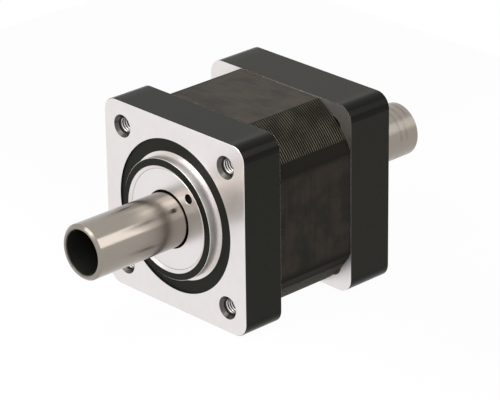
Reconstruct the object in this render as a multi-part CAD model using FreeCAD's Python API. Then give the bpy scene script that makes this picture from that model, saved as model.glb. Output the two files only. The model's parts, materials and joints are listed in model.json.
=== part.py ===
import FreeCAD, Part
import math
import os
from FreeCAD import Vector

# Hollow shaft stepper motor, 35 mm frame
# Millimetres. The shaft runs along Y, the front faces -Y and +Z is up.
# The origin is on the shaft axis, in the plane of the mounting face.

# Housing: overall square, its corners and the three lengths along the shaft
frame_width = 35.2
frame_corner_r = 2.8
front_flange_length = 8.3
stack_length = 17.0
rear_cap_length = 9.5
edge_break = 0.15

# Pilot boss, its wall outside the lock ring, its sink, and the turned recess round it
pilot_wall = 1.85
pilot_height = 2.0
pilot_edge_break = 0.2
pilot_sink_width = 0.55
recess_width = 3.0
recess_depth = 0.3

# Mounting holes: inset from the sides, drawn at the major radius of their M3 thread
mount_inset = 4.6
mount_thread_r = 1.5
mount_thread_depth = 4.0
countersink_r = 2.05

# Laminated stator: flats just under the housing, round corners, toothed poles
stack_flat_inset = 0.2
stack_round_rise = 2.6
yoke_width = 2.2
pole_count = 8
teeth_per_pole = 6
stator_tooth_angle = 3.0
tooth_depth = 0.8
shoe_thickness = 1.3
shoe_tip_thickness = 0.6
pole_width = 3.4
air_gap = 0.1

# Insulators and coils
insulator_thickness = 0.6
insulator_wall = 0.5
insulator_wall_set_in = 0.75
insulator_rim = 0.6
coil_gap = 0.15
coil_length = 2.25
coil_spacing = 2.33
coil_head_build = 1.4
coil_corner = 0.7

# Space for the coil heads inside the two end housings, with a flat facing each pole
housing_wall = 2.2
front_winding_space = 2.3
rear_winding_space = 2.6

# Shielded ball bearings, 12 x 18 x 4, and the shoulder behind the front one
bearing_section = 3.0
bearing_width = 4.0
inner_ring_wall = 0.9
shield_gap = 0.08
bearing_shoulder = 0.8

# Lock ring that holds the front bearing in the pilot boss
lock_ring_step = 0.15
lock_ring_thickness = 2.0
lock_ring_set_in = 0.4
lock_ring_edge_break = 0.12
spanner_hole_r = 0.95
spanner_hole_depth = 1.3
spanner_hole_inset = 1.55
spanner_angle = 45.0

# Hollow shaft: bearing and rotor seat in the middle, a thinner length at each end
shaft_r = 5.0
shaft_wall = 1.0
seat_step = 1.0
front_reach = 21.0
rear_reach = 21.0
shaft_end_chamfer = 0.4
shaft_bore_chamfer = 0.2
shaft_hole_clearance = 0.6
seat_set_in = 0.3

# Rotor on the shaft: two toothed cups, half a tooth apart, and a ring magnet
rotor_teeth = 50
rotor_tooth_angle = 2.9
magnet_thickness = 2.6
magnet_set_in = 0.9

# Rear wall of the rear cap, behind the rear bearing
rear_wall = 2.0

# Counterbores in the rear cap for the heads of the tie screws
tie_inset = 5.4
tie_sink_r = 2.4
tie_sink_depth = 2.3

# Lead outlet on the side at -X, filled by a grommet with a slot for the leads
outlet_width = 8.0
outlet_height = 2.4
grommet_set_in = 0.2
lead_slot_width = 5.4
lead_slot_height = 1.2

# Places worked out from the sizes above
half_width = frame_width / 2
mount_spacing = frame_width - 2 * mount_inset
tie_spacing = frame_width - 2 * tie_inset
stack_front = front_flange_length
stack_rear = stack_front + stack_length
rear_face = stack_rear + rear_cap_length
winding_space_reach = half_width - housing_wall
shaft_bore_r = shaft_r - shaft_wall
shaft_hole_r = shaft_r + shaft_hole_clearance
seat_r = shaft_r + seat_step
inner_land_r = seat_r + inner_ring_wall
bearing_outer_r = seat_r + bearing_section
shoulder_r = bearing_outer_r - bearing_shoulder
lock_ring_r = bearing_outer_r + lock_ring_step
spanner_circle_r = lock_ring_r - spanner_hole_inset
pilot_r = lock_ring_r + pilot_wall
recess_r = pilot_r + recess_width
lock_face = lock_ring_set_in - pilot_height
front_bearing_face = lock_face + lock_ring_thickness
front_bearing_end = front_bearing_face + bearing_width
front_space_floor = stack_front - front_winding_space
rear_space_floor = stack_rear + rear_winding_space
rear_bearing_end = rear_face - rear_wall
rear_bearing_face = rear_bearing_end - bearing_width
half_flat = half_width - stack_flat_inset
slot_reach = half_flat - yoke_width
coil_reach = slot_reach - insulator_rim
coil_start = coil_reach - coil_length
shoe_back = coil_start - coil_gap
tooth_root_r = shoe_back - shoe_thickness
stator_bore_r = tooth_root_r - tooth_depth
rotor_r = stator_bore_r - air_gap
coil_half_width = coil_start * math.tan(math.pi / pole_count) - coil_spacing / 2
tooth_pitch = 360 / rotor_teeth
AXIS = Vector(0, 1, 0)
CENTRE = Vector(0, 0, 0)


# Shape helpers

def cylinder(radius, start, end, x=0.0, z=0.0):
    return Part.makeCylinder(radius, end - start, Vector(x, start, z), AXIS)


def turned(points):
    """Solid of revolution about the shaft axis, from (radius, y) points."""
    corners = [Vector(radius, y, 0) for radius, y in points]
    return Part.Face(Part.makePolygon(corners + corners[:1])).revolve(CENTRE, AXIS, 360)


def ring(outer_r, inner_r, start, end):
    return turned([(inner_r, start), (outer_r, start), (outer_r, end), (inner_r, end)])


def box(x, y, z):
    """Box from three (low, high) pairs."""
    return Part.makeBox(x[1] - x[0], y[1] - y[0], z[1] - z[0], Vector(x[0], y[0], z[0]))


def prism(points, start, end):
    """Straight bar along Y whose section has these (x, z) corners."""
    corners = [Vector(x, start, z) for x, z in points]
    return Part.Face(Part.makePolygon(corners + corners[:1])).extrude(AXIS * (end - start))


def polar(radius, angle):
    turn = math.radians(angle)
    return radius * math.cos(turn), radius * math.sin(turn)


def pole_prism(reach, start, end):
    """Bar with as many sides as there are poles, its flats this far from the axis."""
    half_side = 180 / pole_count
    corner_r = reach / math.cos(math.radians(half_side))
    return prism([polar(corner_r, half_side * (2 * side + 1)) for side in range(pole_count)], start, end)


def pole_pattern(shape):
    """Copies of what lies at the +X pole, one at each pole."""
    copies = []
    for pole in range(pole_count):
        copy = shape.copy()
        copy.rotate(CENTRE, AXIS, 360 * pole / pole_count)
        copies.append(copy)
    return copies


def corner_places(spacing):
    half = spacing / 2
    return [(-half, half), (half, half), (half, -half), (-half, -half)]


def joined(shapes):
    return shapes[0].multiFuse(shapes[1:]).removeSplitter()


def housing_block(start, end, outer_face):
    """Square block with round corners, its edge broken at the outer face."""
    side = (-half_width, half_width)
    block = box(side, (start, end), side)
    block = block.makeFillet(frame_corner_r, [e for e in block.Edges if e.BoundBox.YLength > edge_break])
    rim = [e for e in block.Edges if abs(e.BoundBox.Center.y - outer_face) < edge_break]
    return block.makeChamfer(edge_break, rim)


# End housings

def mount_hole(x, z):
    """Blind tapped hole in the mounting face, with its countersink."""
    thread = cylinder(mount_thread_r, 0, mount_thread_depth, x, z)
    sink_depth = countersink_r - mount_thread_r
    return thread.fuse(Part.makeCone(countersink_r, mount_thread_r, sink_depth, Vector(x, 0, z), AXIS))


def front_flange():
    """Square block with the pilot boss, whose bore opens as a cone down to the lock ring."""
    block = housing_block(0, stack_front, 0).cut(cylinder(recess_r, 0, recess_depth))
    boss = turned([
        (0, -pilot_height),
        (pilot_r - pilot_edge_break, -pilot_height),
        (pilot_r, pilot_edge_break - pilot_height),
        (pilot_r, front_space_floor),
        (0, front_space_floor),
    ])
    inside = turned([
        (0, -pilot_height),
        (lock_ring_r + pilot_sink_width, -pilot_height),
        (lock_ring_r, lock_face),
        (lock_ring_r, front_bearing_face),
        (bearing_outer_r, front_bearing_face),
        (bearing_outer_r, front_bearing_end),
        (shoulder_r, front_bearing_end),
        (shoulder_r, stack_front),
        (0, stack_front),
    ])
    cuts = [inside, pole_prism(winding_space_reach, front_space_floor, stack_front)]
    cuts += [mount_hole(x, z) for x, z in corner_places(mount_spacing)]
    return block.fuse(boss).cut(cuts).removeSplitter()


def outlet_block(inner_end, set_in):
    """Block in the lead outlet, from inner_end to the -X side less set_in."""
    half = outlet_width / 2
    return box((set_in - half_width, inner_end), (stack_rear, stack_rear + outlet_height), (-half, half))


def rear_cap():
    inside = turned([
        (0, stack_rear),
        (bearing_outer_r, stack_rear),
        (bearing_outer_r, rear_bearing_end),
        (shaft_hole_r, rear_bearing_end),
        (shaft_hole_r, rear_face),
        (0, rear_face),
    ])
    cuts = [inside, pole_prism(winding_space_reach, stack_rear, rear_space_floor)]
    tie_seat = rear_face - tie_sink_depth
    cuts += [cylinder(tie_sink_r, tie_seat, rear_face, x, z) for x, z in corner_places(tie_spacing)]
    cuts.append(outlet_block(-slot_reach, 0))
    return housing_block(stack_rear, rear_face, rear_face).cut(cuts)


def lead_grommet():
    middle = stack_rear + outlet_height / 2
    height = (middle - lead_slot_height / 2, middle + lead_slot_height / 2)
    slot = box((-half_width, 0), height, (-lead_slot_width / 2, lead_slot_width / 2))
    return outlet_block(-winding_space_reach, grommet_set_in).cut(slot)


def front_lock_ring():
    blank = turned([
        (shaft_hole_r, lock_face),
        (lock_ring_r - lock_ring_edge_break, lock_face),
        (lock_ring_r, lock_face + lock_ring_edge_break),
        (lock_ring_r, front_bearing_face),
        (shaft_hole_r, front_bearing_face),
    ])
    holes = []
    for angle in (spanner_angle, spanner_angle + 180):
        x, z = polar(spanner_circle_r, angle)
        holes.append(cylinder(spanner_hole_r, lock_face, lock_face + spanner_hole_depth, x, z))
    return blank.cut(holes)


# Stator

def pole():
    """The +X pole: teeth along the bore, a tapering shoe and a straight shank."""
    half_tooth = stator_tooth_angle / 2
    half_pole = pole_width / 2
    root_end = (slot_reach + half_flat) / 2
    teeth = []
    for tooth in range(teeth_per_pole):
        middle = tooth_pitch * (tooth - (teeth_per_pole - 1) / 2)
        for radius, angle in (
            (tooth_root_r, middle - half_tooth),
            (stator_bore_r, middle - half_tooth),
            (stator_bore_r, middle + half_tooth),
            (tooth_root_r, middle + half_tooth),
        ):
            teeth.append(polar(radius, angle))
    shoe_half_angle = tooth_pitch * (teeth_per_pole - 1) / 2 + half_tooth
    tip_x, tip_z = polar(tooth_root_r + shoe_tip_thickness, shoe_half_angle)
    back = [
        (tip_x, tip_z),
        (shoe_back, half_pole),
        (root_end, half_pole),
        (root_end, -half_pole),
        (shoe_back, -half_pole),
        (tip_x, -tip_z),
    ]
    return prism(teeth[1:-1] + back, stack_front, stack_rear)


def stator_stack():
    """All laminations as one solid: the yoke and its toothed poles."""
    flats = (-half_flat, half_flat)
    yoke = box(flats, (stack_front, stack_rear), flats)
    yoke = yoke.common(cylinder(half_flat + stack_round_rise, stack_front, stack_rear))
    yoke = yoke.cut(pole_prism(slot_reach, stack_front, stack_rear))
    return joined([yoke] + pole_pattern(pole()))


def insulator(seat, outward):
    """Moulded end piece on the stack: a rim, and over each pole a strip and a wall.

    The seat is its y on the stack and outward is -1 at the front, 1 at the rear.
    """
    face = sorted((seat, seat + outward * insulator_thickness))
    wall_top = sorted((seat, seat + outward * (insulator_thickness + coil_head_build)))
    rim = pole_prism(slot_reach, *face).cut(pole_prism(coil_reach, *face))
    strip = box((tooth_root_r, coil_reach), face, (-pole_width / 2, pole_width / 2))
    half_wall = coil_half_width - insulator_wall_set_in
    wall = box((shoe_back - insulator_wall, shoe_back), wall_top, (-half_wall, half_wall))
    return joined([rim] + pole_pattern(strip.fuse(wall)))


def coil():
    """Coil on the +X pole: a loop round the pole and both insulators."""
    radial = (coil_start, coil_reach)
    front = stack_front - insulator_thickness
    rear = stack_rear + insulator_thickness
    inner_half = pole_width / 2 + coil_gap
    outer_width = (-coil_half_width, coil_half_width)
    loop = box(radial, (front - coil_head_build, rear + coil_head_build), outer_width)
    along_x = [e for e in loop.Edges if e.BoundBox.XLength > coil_gap]
    return loop.makeChamfer(coil_corner, along_x).cut(box(radial, (front, rear), (-inner_half, inner_half)))


# Rotor

def rotor_cup(start, end, phase):
    """Cup with a full circle of teeth, each as wide at its root as at its tip."""
    root_r = rotor_r - tooth_depth
    tip_half = rotor_tooth_angle / 2
    root_half = tip_half * rotor_r / root_r
    outline = []
    for tooth in range(rotor_teeth):
        middle = phase + tooth_pitch * tooth
        outline += [polar(root_r, middle - root_half), polar(rotor_r, middle - tip_half)]
        outline += [polar(rotor_r, middle + tip_half), polar(root_r, middle + root_half)]
    return prism(outline, start, end).cut(cylinder(seat_r, start, end))


def hollow_shaft():
    front_end = -front_reach
    rear_end = rear_face + rear_reach
    land_r = shaft_r - shaft_end_chamfer
    mouth_r = shaft_bore_r + shaft_bore_chamfer
    return turned([
        (mouth_r, front_end),
        (land_r, front_end),
        (shaft_r, front_end + shaft_end_chamfer),
        (shaft_r, front_bearing_face + seat_set_in),
        (seat_r, front_bearing_face + seat_set_in),
        (seat_r, rear_bearing_end - seat_set_in),
        (shaft_r, rear_bearing_end - seat_set_in),
        (shaft_r, rear_end - shaft_end_chamfer),
        (land_r, rear_end),
        (mouth_r, rear_end),
        (shaft_bore_r, rear_end - shaft_bore_chamfer),
        (shaft_bore_r, front_end + shaft_bore_chamfer),
    ])


# Bearings

def bearing_outer(face):
    """Outer ring and shields as one ring, clear of the inner ring."""
    return ring(bearing_outer_r, inner_land_r + shield_gap, face, face + bearing_width)


def bearing_inner(face):
    return ring(inner_land_r, seat_r, face, face + bearing_width)


def all_parts():
    cup_length = (stack_length - magnet_thickness) / 2
    magnet_front = stack_front + cup_length
    magnet_rear = magnet_front + magnet_thickness
    parts = {
        "front_flange": front_flange(),
        "rear_cap": rear_cap(),
        "stator_stack": stator_stack(),
        "front_insulator": insulator(stack_front, -1),
        "rear_insulator": insulator(stack_rear, 1),
        "lead_grommet": lead_grommet(),
        "front_lock_ring": front_lock_ring(),
        "front_bearing_outer": bearing_outer(front_bearing_face),
        "rear_bearing_outer": bearing_outer(rear_bearing_face),
        "hollow_shaft": hollow_shaft(),
        "front_bearing_inner": bearing_inner(front_bearing_face),
        "rear_bearing_inner": bearing_inner(rear_bearing_face),
        "front_rotor_cup": rotor_cup(stack_front, magnet_front, tooth_pitch / 2),
        "rear_rotor_cup": rotor_cup(magnet_rear, stack_rear, 0),
        "rotor_magnet": ring(rotor_r - magnet_set_in, seat_r, magnet_front, magnet_rear),
    }
    for number, shape in enumerate(pole_pattern(coil()), 1):
        parts[f"coil_{number}"] = shape
    return parts


os.makedirs("parts", exist_ok=True)
for name, shape in all_parts().items():
    shape.exportStep(f"parts/{name}.step")
    print(f"{name}: {len(shape.Solids)} solid, {shape.Volume:.1f} mm3, valid {shape.isValid()}")
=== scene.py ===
import json
import math

import bmesh
import bpy
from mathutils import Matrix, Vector


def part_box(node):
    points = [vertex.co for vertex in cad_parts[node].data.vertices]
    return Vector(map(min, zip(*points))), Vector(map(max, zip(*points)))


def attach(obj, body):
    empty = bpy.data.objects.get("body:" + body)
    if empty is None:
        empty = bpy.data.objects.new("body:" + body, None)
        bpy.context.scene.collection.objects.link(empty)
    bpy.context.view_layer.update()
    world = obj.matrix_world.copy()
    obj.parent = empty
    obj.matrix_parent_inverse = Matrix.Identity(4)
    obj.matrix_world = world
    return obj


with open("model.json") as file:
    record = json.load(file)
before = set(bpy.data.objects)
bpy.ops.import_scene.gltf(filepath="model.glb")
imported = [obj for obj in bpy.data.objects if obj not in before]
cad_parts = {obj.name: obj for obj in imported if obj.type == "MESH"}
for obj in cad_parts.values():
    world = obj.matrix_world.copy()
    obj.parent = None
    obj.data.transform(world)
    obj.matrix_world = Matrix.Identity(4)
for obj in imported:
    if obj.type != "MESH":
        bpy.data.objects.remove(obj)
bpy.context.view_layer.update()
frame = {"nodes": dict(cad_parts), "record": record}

# Sizes in metres. What the frame holds is read from it, and the rest is named here.
# A pair of numbers in the materials is where a mask starts and where it is full.
MM = 0.001
flange_low, flange_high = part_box("front_flange")
cap_low, cap_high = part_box("rear_cap")
stack_low, stack_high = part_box("stator_stack")
lock_low, lock_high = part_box("front_lock_ring")
shaft_low, shaft_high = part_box("hollow_shaft")
mounts = {mount["name"]: mount for mount in frame["record"]["mounts"]}

half_width = flange_high.x
half_flat = stack_high.x
floor_z = flange_low.z
pilot_r = mounts["pilot"]["dims"]["r_mm"] * MM
shaft_r = mounts["front_shaft"]["dims"]["r_mm"] * MM
hole_r = mounts["flange_bolts"]["dims"]["hole_r_mm"] * MM
hole_offset = mounts["flange_bolts"]["dims"]["spacing_x_mm"] * MM / 2
mask_edge = 0.02 * MM

# The turned face: black from the bright strip at the pilot's foot out to the recess wall
strip_r = 11.65 * MM
recess_r = 14.0 * MM
rim_r = 10.95 * MM
sink_r = 9.68 * MM
turned_edge = 0.05 * MM
face_skin = (0.1 * MM, 0.05 * MM)
pilot_foot = (0.5 * MM, 0.4 * MM)
pilot_wall = (0.04 * MM, 0.02 * MM)
milled_skin = (0.01 * MM, 0.004 * MM)

# Countersinks of the four mounting holes, whose bare metal is painted dark grey as shade
countersink_r = 2.1 * MM
countersink_depth = (1.0 * MM, 0.9 * MM)

# Painted shade on the round corners of the end housings, reaching onto their tops: depth under their
# skin, and reach from where they start
corner_r = 2.8 * MM
corner_skin = (-0.2 * MM, -0.15 * MM)
corner_across = (-2.2 * MM, 0.3 * MM)
corner_up = (-0.3 * MM, 0.2 * MM)

# Spanner holes in the face of the lock ring, two across the axis on a diagonal
spanner_offset = 5.37 * MM
spanner_hole_r = 0.95 * MM
spanner_sink = 0.06 * MM
spanner_shadow_r = spanner_hole_r + 0.03 * MM
spanner_shadow_depth = (0.1 * MM, 0.3 * MM)

# Lip that narrows the gap between the lock ring and the shaft
lip_r = 5.32 * MM
gap_fill = 0.28 * MM
lip_depth = 0.5 * MM
round_segments = 96

# Shaft: its bore and the stretch inside the lock ring, where shade is painted, and the turning marks
# near the rear end
bore_wall = (-0.75 * MM, -0.95 * MM)
ring_entry = (0.2 * MM, 0.5 * MM)
ring_exit = (0.5 * MM, 0.0)
rear_run = 8 * MM
turning_marks = (1.6 * MM, 3.1 * MM, 4.6 * MM)
mark_width = (0.4 * MM, 0.1 * MM)

# Stack: its flanks and its four round corners, where shade is painted
stack_round_r = 20.0 * MM
flank_skin = (-0.1 * MM, -0.04 * MM)
arc_skin = (-0.12 * MM, -0.04 * MM)
arc_shadow = (-0.8 * MM, -0.04 * MM)

# Edges of the laminations on the round corners, with angles in degrees from the side
lamination_count = 34
lamination_rise = 0.07 * MM
lamination_crest = 0.2
worn_crest = (0.75, 0.95)
ridge_start = 35.4
ridge_end = 60.2
ridge_steps = 14

# Thread in the mounting holes
thread_pitch = 0.5 * MM
thread_depth = 0.27 * MM
thread_start = 0.6 * MM
thread_end = 3.9 * MM
thread_steps = 24
thread_crest = 0.55

# Heads of the tie screws, in the counterbores of the rear cap
tie_offset = 12.2 * MM
tie_seat_depth = 2.3 * MM
head_r = 2.2 * MM
head_height = 1.8 * MM
head_edge = 0.15 * MM
head_segments = 48
seat_r = head_r + 0.25 * MM
cross_reach = 1.25 * MM
cross_half_width = 0.27 * MM
cross_depth = 0.9 * MM

# Floor, a hair below the housing so that the two faces don't coincide. Its tones count for soft light
# only: pale in front, with painted shade greyer behind and greyest behind on both sides.
floor_half_size = 0.13
floor_drop = 0.02 * MM
floor_front, floor_behind_shade, floor_aside_shade = 0.87, 0.6, 0.36
floor_back_from = (-0.01, 0.04)
floor_aside_from = (0.015, 0.045)
floor_glow = 0.97

# Room, for soft light only: greys at the horizon, over it, overhead and towards the bright front
horizon_grey, side_grey, top_grey, front_white = 0.06, 0.48, 0.13, 1.05
side_height = (0.06, 0.4)
top_height = (0.45, 0.62)
front_direction = (-0.15, -0.72, 0.68)
front_cone = (0.65, 0.98)

# Soft lights: name, place, size, radiance and target
softboxes = (
    ("side_strip", (0.395, 0.235, 0.31), (0.4, 0.35), 2.0, (0, 0.235, 0)),
    ("camera_side", (0.395, -0.38, 0.31), (0.2, 0.35), 1.6, (0, -0.38, 0)),
    ("overhead", (-0.05, -0.2, 0.6), (0.7, 0.8), 2.0, (-0.05, -0.1, 0)),
    ("key", (0.0, -0.36, 0.47), (0.14, 0.14), 3.0, (0, 0, 0)),
)

# Camera, with its lens and sensor in millimetres and its turn in degrees
camera_place = (0.3422, -0.3047, 0.2054)
camera_turn = (66.144, 0.723, 46.373)
camera_lens = 210.5
camera_sensor = 36.0
camera_near, camera_far = 0.01, 10.0


# Node helpers

def new_material(name):
    made = bpy.data.materials.new(name)
    made.use_nodes = True
    made.node_tree.nodes.clear()
    return made, made.node_tree


def add(tree, kind, settings=(), **sockets):
    """New node. Each socket gets a value, or a link from another node's output."""
    made = tree.nodes.new(kind)
    for name, value in dict(settings).items():
        setattr(made, name, value)
    for name, value in sockets.items():
        put(tree, made.inputs[name.replace("_", " ")], value)
    return made


def put(tree, socket, value):
    if isinstance(value, bpy.types.NodeSocket):
        tree.links.new(value, socket)
    else:
        socket.default_value = value


def calc(tree, operation, *values):
    made = tree.nodes.new("ShaderNodeMath")
    made.operation = operation
    for socket, value in zip(made.inputs, values):
        put(tree, socket, value)
    return made.outputs[0]


def fade(tree, value, low, high):
    """0 below low, 1 above high, smooth between. With low above high it falls instead."""
    made = add(tree, "ShaderNodeMapRange", {"interpolation_type": "SMOOTHSTEP"}, Value=value)
    rising = low < high
    made.inputs["From Min"].default_value = low if rising else high
    made.inputs["From Max"].default_value = high if rising else low
    made.inputs["To Min"].default_value = 0.0 if rising else 1.0
    made.inputs["To Max"].default_value = 1.0 if rising else 0.0
    return made.outputs[0]


def fade_from(tree, value, base, span):
    """The same, between two distances from a base."""
    return fade(tree, value, base + span[0], base + span[1])


def both(tree, first, second):
    return calc(tree, "MULTIPLY", first, second)


def either(tree, first, second):
    return calc(tree, "MAXIMUM", first, second)


def distance(tree, across, up):
    return calc(tree, "SQRT", calc(tree, "ADD", both(tree, across, across), both(tree, up, up)))


def blend(tree, mask, first, second):
    """Number or colour: first where the mask is 0, second where it is 1."""
    colour = isinstance(first, tuple) or getattr(first, "type", "") == "RGBA"
    made = tree.nodes.new("ShaderNodeMix")
    made.data_type = "RGBA" if colour else "FLOAT"
    places = ("A_Color", "B_Color") if colour else ("A_Float", "B_Float")
    sockets = {socket.identifier: socket for socket in made.inputs}
    put(tree, sockets["Factor_Float"], mask)
    put(tree, sockets[places[0]], first)
    put(tree, sockets[places[1]], second)
    outputs = {socket.identifier: socket for socket in made.outputs}
    return outputs["Result_Color" if colour else "Result_Float"]


def grey(level, warm=0.0):
    return (level * (1 + warm), level, level * (1 - warm), 1.0)


class Place:
    """Where a point is on the object: coords, x, y, z and its distance from the shaft axis."""

    def __init__(self, tree):
        self.coords = add(tree, "ShaderNodeTexCoord").outputs["Object"]
        axes = add(tree, "ShaderNodeSeparateXYZ", Vector=self.coords)
        self.x, self.y, self.z = (axes.outputs[name] for name in "XYZ")
        flat = add(tree, "ShaderNodeVectorMath", {"operation": "MULTIPLY"})
        put(tree, flat.inputs[0], self.coords)
        put(tree, flat.inputs[1], (1, 0, 1))
        length = add(tree, "ShaderNodeVectorMath", {"operation": "LENGTH"})
        put(tree, length.inputs[0], flat.outputs[0])
        self.radius = length.outputs["Value"]


def noise(tree, coords, scale, detail=2.0, stretch=(1, 1, 1)):
    mapping = add(tree, "ShaderNodeMapping", Vector=coords, Scale=stretch).outputs[0]
    made = add(tree, "ShaderNodeTexNoise", Vector=mapping, Scale=scale, Detail=detail)
    return made.outputs["Fac"]


def bump(tree, height, strength, depth):
    return add(tree, "ShaderNodeBump", Height=height, Strength=strength, Distance=depth).outputs[0]


def shade(tree, **sockets):
    shader = add(tree, "ShaderNodeBsdfPrincipled", **sockets)
    output = add(tree, "ShaderNodeOutputMaterial")
    tree.links.new(shader.outputs[0], output.inputs["Surface"])


def round_tangent(tree):
    return add(tree, "ShaderNodeTangent", {"direction_type": "RADIAL", "axis": "Y"}).outputs[0]


# Finishes

black_low = (0.007, 0.007, 0.005, 1.0)
black_high = (0.013, 0.0128, 0.0095, 1.0)
cap_black_low = (0.0115, 0.0105, 0.008, 1.0)
cap_black_high = (0.019, 0.0175, 0.0135, 1.0)
corner_painted_shade = (0.002, 0.002, 0.0015, 1.0)
black_sheen = (1.0, 0.985, 0.88, 1.0)
bare_low = (0.77, 0.735, 0.735, 1.0)
bare_high = (0.85, 0.81, 0.80, 1.0)
countersink_painted_shade = grey(0.095, 0.08)
spanner_shadow = grey(0.13, 0.12)
steel_low = (0.28, 0.25, 0.218, 1.0)
steel_high = (0.33, 0.296, 0.258, 1.0)
steel_mark = (0.11, 0.09, 0.075, 1.0)
shaft_painted_shade = (0.010, 0.010, 0.007, 1.0)
sheet_top_low = (0.014, 0.0118, 0.0092, 1.0)
sheet_top_high = (0.042, 0.033, 0.0245, 1.0)
shaded_flank_low = (0.0075, 0.007, 0.005, 1.0)
shaded_flank_high = (0.028, 0.0205, 0.0155, 1.0)
sheet_corner_painted_shade = (0.006, 0.0055, 0.004, 1.0)
sheet_sheen = (1.0, 0.96, 0.85, 1.0)
groove_painted_shade = grey(0.002, 0.1)
edge_low = (0.033, 0.0275, 0.0185, 1.0)
edge_high = (0.12, 0.105, 0.072, 1.0)
thread_painted_shade = grey(0.01, 0.1)
thread_low = grey(0.5, 0.03)
thread_high = grey(0.75, 0.03)
copper_low = (0.35, 0.12, 0.04, 1.0)
copper_high = (0.72, 0.34, 0.15, 1.0)
nylon_low = (0.72, 0.70, 0.64, 1.0)
nylon_high = (0.82, 0.80, 0.74, 1.0)


def corner_shade_mask(tree, at):
    """1 on the round corners of the end housings, fading out along their tops: where shade is
    painted.
    """
    inner = half_width - corner_r
    wide, high = calc(tree, "ABSOLUTE", at.x), calc(tree, "ABSOLUTE", at.z)
    past_x = calc(tree, "MAXIMUM", calc(tree, "SUBTRACT", wide, inner), 0.0)
    past_z = calc(tree, "MAXIMUM", calc(tree, "SUBTRACT", high, inner), 0.0)
    skin = fade_from(tree, distance(tree, past_x, past_z), corner_r, corner_skin)
    across = fade_from(tree, wide, inner, corner_across)
    up = fade_from(tree, high, inner, corner_up)
    return both(tree, skin, both(tree, across, up))


def hole_mask(tree, at, offset, radius):
    """1 within a radius of the four places at this offset from the axis, both ways."""
    dx = calc(tree, "SUBTRACT", calc(tree, "ABSOLUTE", at.x), offset)
    dz = calc(tree, "SUBTRACT", calc(tree, "ABSOLUTE", at.z), offset)
    return fade(tree, distance(tree, dx, dz), radius + mask_edge, radius - mask_edge)


def housing_material(name, bare_parts, low, high):
    """Black anodised housing. bare_parts makes the masks of its turned and its milled bare parts."""
    made, tree = new_material(name)
    at = Place(tree)
    turned, milled = bare_parts(tree, at)
    bare = either(tree, turned, milled)
    corner = corner_shade_mask(tree, at)
    mottle = noise(tree, at.coords, 900, 4)
    lines = noise(tree, at.coords, 500, 3, (1, 12, 1))
    # The round corners and the top edges next to them are painted near black as shade, and are
    # glossier.
    black = blend(tree, corner, blend(tree, mottle, low, high), corner_painted_shade)
    # The bare countersinks take a dark grey: painted shade in the holes.
    cone = hole_mask(tree, at, hole_offset, countersink_r)
    silver = blend(tree, cone, blend(tree, lines, bare_low, bare_high), countersink_painted_shade)
    black_rough = blend(tree, corner, blend(tree, mottle, 0.36, 0.44), 0.22)
    silver_rough = blend(tree, milled, blend(tree, lines, 0.26, 0.34), 0.3)
    wall = fade_from(tree, at.radius, pilot_r, pilot_wall)
    silver_rough = blend(tree, both(tree, wall, turned), silver_rough, 0.36)
    shade(
        tree,
        Base_Color=blend(tree, bare, black, silver),
        Metallic=bare,
        Roughness=blend(tree, bare, black_rough, silver_rough),
        Specular_IOR_Level=0.12,
        Specular_Tint=black_sheen,
        Anisotropic=0.7,
        Anisotropic_Rotation=0.25,
        Tangent=round_tangent(tree),
        Normal=bump(tree, mottle, 0.05, 0.02 * MM),
    )
    return made


def flange_bare(tree, at):
    """Turned: mounting face, its countersinks, pilot wall, strip and sink. Milled: rear face."""
    outer = fade(tree, at.radius, recess_r - turned_edge, recess_r)
    face = both(tree, fade(tree, at.y, *face_skin), outer)
    cone = hole_mask(tree, at, hole_offset, countersink_r)
    cone = both(tree, cone, fade(tree, at.y, *countersink_depth))
    wall = fade(tree, at.radius, rim_r - mask_edge, rim_r)
    foot = fade(tree, at.radius, strip_r, strip_r - turned_edge)
    sink = fade(tree, at.radius, sink_r + mask_edge, sink_r)
    pilot = either(tree, both(tree, wall, foot), sink)
    pilot = both(tree, pilot, fade(tree, at.y, *pilot_foot))
    rear = fade(tree, at.y, flange_high.y - milled_skin[0], flange_high.y - milled_skin[1])
    return either(tree, either(tree, face, cone), pilot), rear


def cap_bare(tree, at):
    """Turned: none. Milled: front face and the seats of the tie screws."""
    front = fade_from(tree, at.y, cap_low.y, milled_skin)
    return 0.0, either(tree, front, hole_mask(tree, at, tie_offset, seat_r))


def turned_material(name, low, high, roughness, spanner_at=None):
    """Bare metal turned about the shaft axis. If a diagonal offset is given, shadow is painted in the
    holes there and in the gap round the shaft.
    """
    made, tree = new_material(name)
    at = Place(tree)
    track = add(tree, "ShaderNodeCombineXYZ", X=at.radius, Y=at.y).outputs[0]
    lines = noise(tree, track, 900, 3)
    colour = blend(tree, lines, low, high)
    if spanner_at:
        gap_r = lip_r + gap_fill
        # Painted shadow inside the spanner holes and in the gap round the shaft.
        bore = hole_mask(tree, at, spanner_at, spanner_shadow_r)
        bore = either(tree, bore, fade(tree, at.radius, gap_r + mask_edge, gap_r))
        deep = fade_from(tree, at.y, lock_low.y, spanner_shadow_depth)
        colour = blend(tree, both(tree, bore, deep), colour, spanner_shadow)
    shade(
        tree,
        Base_Color=colour,
        Metallic=1.0,
        Roughness=blend(tree, lines, roughness - 0.04, roughness + 0.04),
        Anisotropic=0.7,
        Anisotropic_Rotation=0.25,
        Tangent=round_tangent(tree),
        Normal=bump(tree, lines, 0.1, 0.01 * MM),
    )
    return made


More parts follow.
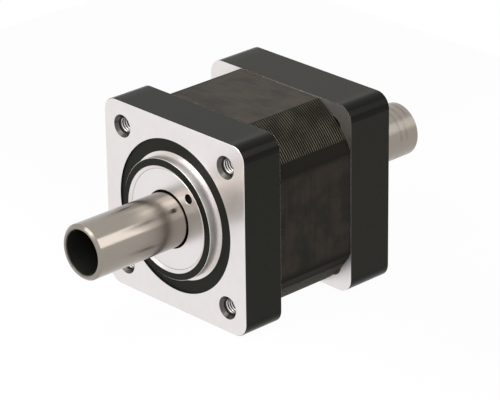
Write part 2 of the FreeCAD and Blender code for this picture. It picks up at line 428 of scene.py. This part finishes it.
def shaft_material():
    """Ground stainless steel, with shade painted inside the bore and along the stretch hidden in the
    lock ring, and fine turning marks at the rear end.
    """
    made, tree = new_material("ground_stainless")
    at = Place(tree)
    haze = noise(tree, at.coords, 120, 3, (1, 0.3, 1))
    marks = 0.0
    for inset in turning_marks:
        from_mark = calc(tree, "ABSOLUTE", calc(tree, "SUBTRACT", at.y, shaft_high.y - inset))
        marks = either(tree, marks, fade(tree, from_mark, *mark_width))
    marks = both(tree, marks, fade(tree, noise(tree, at.coords, 260, 3), 0.4, 0.65))
    inside = fade_from(tree, at.radius, shaft_r, bore_wall)
    entry = fade_from(tree, at.y, lock_low.y, ring_entry)
    hidden = both(tree, entry, fade_from(tree, at.y, lock_high.y, ring_exit))
    dark = either(tree, inside, hidden)
    outside = blend(tree, haze, steel_low, steel_high)
    outside = blend(tree, both(tree, marks, 0.5), outside, steel_mark)
    rear = fade(tree, at.y, cap_high.y, cap_high.y + rear_run)
    smooth = blend(tree, rear, blend(tree, haze, 0.16, 0.22), 0.26)
    grain = noise(tree, at.coords, 1500, 4, (1, 0.5, 1))
    relief = calc(tree, "SUBTRACT", both(tree, grain, 0.5), marks)
    shade(
        tree,
        # Near black in the bore and inside the lock ring: painted shade.
        Base_Color=blend(tree, dark, outside, shaft_painted_shade),
        Metallic=blend(tree, inside, 1.0, 0.0),
        Roughness=blend(tree, dark, blend(tree, marks, smooth, 0.36), 0.4),
        Anisotropic=0.6,
        Anisotropic_Rotation=0.25,
        Tangent=round_tangent(tree),
        Normal=bump(tree, relief, 0.06, 0.02 * MM),
    )
    return made


def lamination_material():
    """Dark stacked sheet: brown-grey, mottled, with faint streaks. The flanks take darker tones than
    the top and bottom as painted shade, and the round corners are painted near black as shade, with a
    band of painted shadow on the flanks next to them.
    """
    made, tree = new_material("stacked_sheet")
    at = Place(tree)
    blotch = noise(tree, at.coords, 260, 4)
    streak = noise(tree, at.coords, 150, 3, (1, 18, 1))
    tone = blend(tree, 0.3, blotch, streak)
    upper = blend(tree, fade(tree, tone, 0.34, 0.66), sheet_top_low, sheet_top_high)
    lower = blend(tree, fade(tree, tone, 0.35, 0.65), shaded_flank_low, shaded_flank_high)
    flank = fade_from(tree, calc(tree, "ABSOLUTE", at.x), half_flat, flank_skin)
    arc = fade_from(tree, at.radius, stack_round_r, arc_skin)
    shadow = both(tree, flank, fade_from(tree, at.radius, stack_round_r, arc_shadow))
    arc = either(tree, arc, shadow)
    shade(
        tree,
        # Darker flanks and near black round corners: painted shade.
        Base_Color=blend(tree, arc, blend(tree, flank, upper, lower), sheet_corner_painted_shade),
        Roughness=blend(tree, arc, blend(tree, blotch, 0.42, 0.55), 0.7),
        Specular_IOR_Level=0.12,
        Specular_Tint=sheet_sheen,
        Normal=bump(tree, tone, 0.15, 0.03 * MM),
    )
    return made


def ridge_material():
    """Sheared sheet edges, worn bright on the crests, with painted shade in the grooves between."""
    made, tree = new_material("sheet_edges")
    at = Place(tree)
    wear = fade(tree, noise(tree, at.coords, 230, 5), 0.25, 0.75)
    worn_r = [stack_round_r + share * lamination_rise for share in worn_crest]
    crest = fade(tree, at.radius, *worn_r)
    shade(
        tree,
        # Near black between the crests: painted shade in the grooves.
        Base_Color=blend(tree, crest, groove_painted_shade, blend(tree, wear, edge_low, edge_high)),
        Metallic=both(tree, crest, 0.4),
        Roughness=0.5,
        Specular_IOR_Level=0.08,
        Specular_Tint=sheet_sheen,
    )
    return made


def thread_material():
    """Cut thread, bright on the crests, with painted shade in the grooves."""
    made, tree = new_material("cut_thread")
    at = Place(tree)
    wear = noise(tree, at.coords, 900, 3)
    crest = hole_mask(tree, at, hole_offset, hole_r - thread_crest * thread_depth)
    shade(
        tree,
        # Near black in the grooves: painted shade in the holes.
        Base_Color=blend(tree, crest, thread_painted_shade, blend(tree, wear, thread_low, thread_high)),
        Metallic=crest,
        Roughness=0.3,
    )
    return made


def plain_material(name, low, high, roughness, metallic=0.0, scale=600):
    """Finish of small and inner pieces: two tones of one colour in a fine mottle."""
    made, tree = new_material(name)
    mottle = noise(tree, Place(tree).coords, scale, 3)
    shade(
        tree,
        Base_Color=blend(tree, mottle, low, high),
        Metallic=metallic,
        Roughness=blend(tree, mottle, roughness - 0.05, roughness + 0.05),
        Normal=bump(tree, mottle, 0.08, 0.02 * MM),
    )
    return made


def winding_material():
    """Enamelled copper wire, in fine bands for its turns."""
    made, tree = new_material("copper_winding")
    coords = Place(tree).coords
    wave = add(tree, "ShaderNodeTexWave", {"bands_direction": "DIAGONAL"}, Vector=coords, Scale=900.0)
    shade(
        tree,
        Base_Color=blend(tree, wave.outputs["Fac"], copper_low, copper_high),
        Metallic=0.9,
        Roughness=0.35,
        Normal=bump(tree, wave.outputs["Fac"], 0.4, 0.05 * MM),
    )
    return made


def dress(node_name, made):
    materials = frame["nodes"][node_name].data.materials
    materials.clear()
    materials.append(made)


bearing_steel = turned_material("bearing_steel", grey(0.45, 0.03), grey(0.6, 0.03), 0.22)
sheet = lamination_material()
copper = winding_material()
nylon = plain_material("white_nylon", nylon_low, nylon_high, 0.5)
rubber = plain_material("black_rubber", grey(0.012), grey(0.022), 0.7)
screw_steel = plain_material("blackened_screw", grey(0.10), grey(0.20), 0.35, 1.0, 900)

dress("front_flange", housing_material("anodised_flange", flange_bare, black_low, black_high))
dress("rear_cap", housing_material("anodised_cap", cap_bare, cap_black_low, cap_black_high))
turned_aluminium = turned_material("turned_aluminium", bare_low, bare_high, 0.3, spanner_offset)
dress("front_lock_ring", turned_aluminium)
dress("hollow_shaft", shaft_material())
for name in ("stator_stack", "front_rotor_cup", "rear_rotor_cup"):
    dress(name, sheet)
for end in ("front", "rear"):
    dress(f"{end}_insulator", nylon)
    dress(f"{end}_bearing_outer", bearing_steel)
    dress(f"{end}_bearing_inner", bearing_steel)
for number in range(1, 9):
    dress(f"coil_{number}", copper)
dress("rotor_magnet", turned_material("nickel_plating", grey(0.55, 0.05), grey(0.66, 0.05), 0.25))
dress("lead_grommet", rubber)


# Pieces

def piece(name, build, made, body="housing"):
    """Mesh object made by build(bm), riding on a body."""
    bm = bmesh.new()
    build(bm)
    bmesh.ops.recalc_face_normals(bm, faces=bm.faces)
    mesh = bpy.data.meshes.new(name)
    bm.to_mesh(mesh)
    bm.free()
    mesh.materials.append(made)
    made_object = bpy.data.objects.new(name, mesh)
    bpy.context.scene.collection.objects.link(made_object)
    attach(made_object, body)


def polar(radius, angle, y):
    turn = math.radians(angle)
    return Vector((radius * math.cos(turn), y, radius * math.sin(turn)))


def circle(radius, y, segments, centre=Vector((0, 0, 0))):
    return [centre + polar(radius, 360 * k / segments, y) for k in range(segments)]


def strip(bm, rows, closed=False):
    """Faces between neighbouring rows of points, each row as long as the others."""
    made = [[bm.verts.new(point) for point in row] for row in rows]
    count = len(rows[0])
    for first, second in zip(made, made[1:]):
        for k in range(count if closed else count - 1):
            after = (k + 1) % count
            bm.faces.new((first[k], first[after], second[after], second[k]))
    return made


def sheet_edges(bm):
    """Raised edge of each lamination on the four round corners."""
    pitch = (stack_high.y - stack_low.y) / lamination_count
    land = pitch * lamination_crest
    slope = (pitch - land) / 2
    reach = ridge_end - ridge_start
    angles = [ridge_start + reach * k / ridge_steps for k in range(ridge_steps + 1)]
    for quarter in range(4):
        turns = angles if quarter % 2 == 0 else [90 - angle for angle in angles]
        for number in range(lamination_count):
            start = stack_low.y + pitch * number
            profile = (
                (stack_round_r, start),
                (stack_round_r + lamination_rise, start + slope),
                (stack_round_r + lamination_rise, start + slope + land),
                (stack_round_r, start + pitch),
            )
            rows = []
            for radius, y in profile:
                rows.append([polar(radius, turn + 90 * quarter, y) for turn in turns])
            strip(bm, rows)


def mount_threads(bm):
    """Helical thread in each of the four mounting holes."""
    turns = (thread_end - thread_start) / thread_pitch
    steps = int(turns * thread_steps)
    for side in (-1, 1):
        for height in (-1, 1):
            centre = Vector((side * hole_offset, 0, height * hole_offset))
            rows = []
            for radius, shift in ((hole_r, 0.0), (hole_r - thread_depth, 0.5), (hole_r, 1.0)):
                row = []
                for step in range(steps + 1):
                    y = thread_start + thread_pitch * (step / thread_steps + shift)
                    row.append(centre + polar(radius, 360 * step / thread_steps, min(y, thread_end)))
                rows.append(row)
            strip(bm, rows)


def lock_ring_edges(bm):
    """Lip in the bore of the lock ring, and the broken edges of its two spanner holes."""
    face = lock_low.y
    outer = lip_r + gap_fill
    profile = ((outer, face), (lip_r, face), (lip_r, face + lip_depth), (outer, face + lip_depth))
    strip(bm, [circle(radius, y, round_segments) for radius, y in profile], closed=True)
    for side in (-1, 1):
        centre = Vector((side * spanner_offset, 0, side * spanner_offset))
        rows = []
        for inset in (0.0, spanner_sink):
            rows.append(circle(spanner_hole_r - inset, face + inset, round_segments, centre))
        strip(bm, rows, closed=True)


def tie_screw_heads(bm):
    """Cylindrical heads with a cross recess, seated in the counterbores."""
    seat = cap_high.y - tie_seat_depth
    top = seat + head_height
    arm = cross_half_width
    quarter = [(cross_reach, -arm), (cross_reach, arm), (arm, arm)]
    cross = []
    for turn in range(4):
        for px, pz in quarter:
            for _ in range(turn):
                px, pz = -pz, px
            cross.append((px, pz))
    profile = ((head_r, seat), (head_r, top - head_edge), (head_r - head_edge, top))
    for side in (-1, 1):
        for height in (-1, 1):
            centre = Vector((side * tie_offset, 0, height * tie_offset))
            rows = [circle(radius, y, head_segments, centre) for radius, y in profile]
            rim = strip(bm, rows, closed=True)[-1]
            walls = []
            for y in (top, top - cross_depth):
                walls.append([centre + Vector((px, y, pz)) for px, pz in cross])
            slot_top, slot_floor = strip(bm, walls, closed=True)
            bm.faces.new(slot_floor)
            edges = [bm.edges.get((a, b)) for a, b in zip(rim, rim[1:] + rim[:1])]
            edges += [bm.edges.get((a, b)) for a, b in zip(slot_top, slot_top[1:] + slot_top[:1])]
            bmesh.ops.triangle_fill(bm, edges=edges, use_beauty=True)


piece("lamination_edges", sheet_edges, ridge_material())
piece("mounting_threads", mount_threads, thread_material())
piece("lock_ring_edges", lock_ring_edges, turned_aluminium)
piece("tie_screw_heads", tie_screw_heads, screw_steel)


# Studio

def softbox(name, place_at, size, radiance, target):
    """Rectangular soft light, size along its own x and y, facing the target."""
    data = bpy.data.lights.new(name, "AREA")
    data.shape = "RECTANGLE"
    data.size, data.size_y = size
    data.energy = radiance * math.pi * size[0] * size[1]
    light = bpy.data.objects.new(name, data)
    light.location = place_at
    light.rotation_euler = (Vector(target) - light.location).to_track_quat("-Z", "Y").to_euler()
    light.visible_camera = False
    bpy.context.scene.collection.objects.link(light)


def background_rays(tree):
    """1 for the rays that see the white background: from the camera, off metal, through glass."""
    path = add(tree, "ShaderNodeLightPath").outputs
    bent = either(tree, path["Is Glossy Ray"], path["Is Transmission Ray"])
    return either(tree, path["Is Camera Ray"], bent)


def studio_world():
    """White to the camera and in metal. Soft light comes from a grey room, bright in front."""
    world = bpy.data.worlds.new("studio")
    bpy.context.scene.world = world
    world.use_nodes = True
    tree = world.node_tree
    tree.nodes.clear()
    direction = add(tree, "ShaderNodeTexCoord").outputs["Generated"]
    height = add(tree, "ShaderNodeSeparateXYZ", Vector=direction).outputs["Z"]
    lean = add(tree, "ShaderNodeVectorMath", {"operation": "DOT_PRODUCT"})
    put(tree, lean.inputs[0], direction)
    put(tree, lean.inputs[1], front_direction)
    room = blend(tree, fade(tree, height, *side_height), grey(horizon_grey), grey(side_grey))
    room = blend(tree, fade(tree, height, *top_height), room, grey(top_grey))
    front = fade(tree, lean.outputs["Value"], *front_cone)
    room = blend(tree, front, room, grey(front_white))
    colour = blend(tree, background_rays(tree), room, grey(1.0))
    background = add(tree, "ShaderNodeBackground", Color=colour)
    output = add(tree, "ShaderNodeOutputWorld")
    tree.links.new(background.outputs[0], output.inputs["Surface"])


def studio_floor():
    """White to the camera and in metal, with the object's faint shadow. For soft light its colour is
    pale in front, with painted shade behind and aside.
    """
    bm = bmesh.new()
    bmesh.ops.create_grid(bm, x_segments=1, y_segments=1, size=floor_half_size)
    mesh = bpy.data.meshes.new("floor")
    bm.to_mesh(mesh)
    bm.free()
    floor = bpy.data.objects.new("floor", mesh)
    floor.location = (0, 0, floor_z - floor_drop)
    bpy.context.scene.collection.objects.link(floor)
    made, tree = new_material("floor_white")
    at = Place(tree)
    back = fade(tree, at.y, *floor_back_from)
    aside = fade(tree, calc(tree, "ABSOLUTE", at.x), *floor_aside_from)
    # Greyer behind and greyest aside: painted shade on the floor.
    behind = blend(tree, aside, grey(floor_behind_shade), grey(floor_aside_shade))
    pale = blend(tree, back, grey(floor_front), behind)
    diffuse = add(tree, "ShaderNodeBsdfDiffuse", Color=pale)
    glow = add(tree, "ShaderNodeEmission", Color=grey(1.0), Strength=1.0)
    mixed = add(tree, "ShaderNodeMixShader", Fac=both(tree, background_rays(tree), floor_glow))
    tree.links.new(diffuse.outputs[0], mixed.inputs[1])
    tree.links.new(glow.outputs[0], mixed.inputs[2])
    output = add(tree, "ShaderNodeOutputMaterial")
    tree.links.new(mixed.outputs[0], output.inputs["Surface"])
    mesh.materials.append(made)


def photo_camera():
    """Long lens, from the right of the front and a little above."""
    data = bpy.data.cameras.new("camera")
    data.sensor_width = camera_sensor
    data.lens = camera_lens
    data.clip_start, data.clip_end = camera_near, camera_far
    camera = bpy.data.objects.new("camera", data)
    camera.location = camera_place
    camera.rotation_euler = [math.radians(angle) for angle in camera_turn]
    bpy.context.scene.collection.objects.link(camera)
    bpy.context.scene.camera = camera


studio_world()
studio_floor()
for settings in softboxes:
    softbox(*settings)
photo_camera()
bpy.context.scene.view_settings.view_transform = "Standard"
